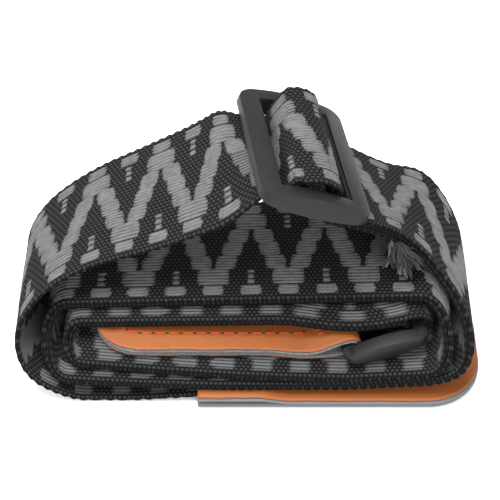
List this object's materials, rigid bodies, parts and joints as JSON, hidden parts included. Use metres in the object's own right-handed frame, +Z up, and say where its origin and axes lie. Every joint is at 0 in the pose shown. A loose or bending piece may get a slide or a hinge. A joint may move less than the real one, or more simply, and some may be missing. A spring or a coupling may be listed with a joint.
{
  "type": "guitar strap",
  "caption": "Woven guitar strap wound into a flattened coil, with a sliding length adjuster, a ring, leather and felt end tabs and a strap-button hole.",
  "frame": {"origin": "middle of the footprint, at the height of the surface the coil lies on", "axes": "+X along the coil's length towards the end tab's rounded end, +Y from the open front side to the back, +Z up"},
  "size_m": [0.1696, 0.093, 0.0831],
  "materials": {
    "webbing": "woven polyester webbing, black with raised grey geometric pattern",
    "black_thread": "black sewing thread",
    "moulded_black": "injection moulded black plastic, matte with slightly shiny edges",
    "tan_leather": "tan leather, smooth grain, darker cut edges",
    "grey_felt": "mottled grey felt",
    "orange_thread": "orange waxed thread"
  },
  "bodies": {
    "strap": {"webbing_single_run": "webbing", "webbing_slider_pass": "webbing", "webbing_outer_ply": "webbing", "webbing_inner_ply": "webbing", "webbing_tail_end": "webbing", "tail_stitching": "black_thread", "ring_tab_leather": "tan_leather", "ring_tab_felt": "grey_felt", "ring_tab_stitching": "orange_thread", "ring_tab_bar_tack": "orange_thread", "end_tab_underlay": "grey_felt", "end_tab_backing": "grey_felt", "end_tab_leather": "tan_leather", "end_tab_stitching": "orange_thread"},
    "tail_loop": {"webbing_tail_loop": "webbing"},
    "slider": {"slider_frame": "moulded_black"},
    "ring": {"ring_frame": "moulded_black"}
  },
  "joints": [
    {"name": "slider_slide", "type": "slide", "parent": "strap", "child": "tail_loop", "axis": [0.9237, 0.0808, -0.3746], "range_m": [-0.0006, 0.0006]},
    {"name": "slider_tilt", "type": "hinge", "parent": "tail_loop", "child": "slider", "pos_m": [0.01865, 0.01296, 0.0705], "axis": [-0.1382, 0.982, -0.129], "range_deg": [-2, 2]},
    {"name": "ring_pivot", "type": "hinge", "parent": "strap", "child": "ring", "pos_m": [0.03034, -0.00896, 0.01849], "axis": [-0.2079, 0.9781, 0], "range_deg": [-1.5, 1.5]}
  ]
}
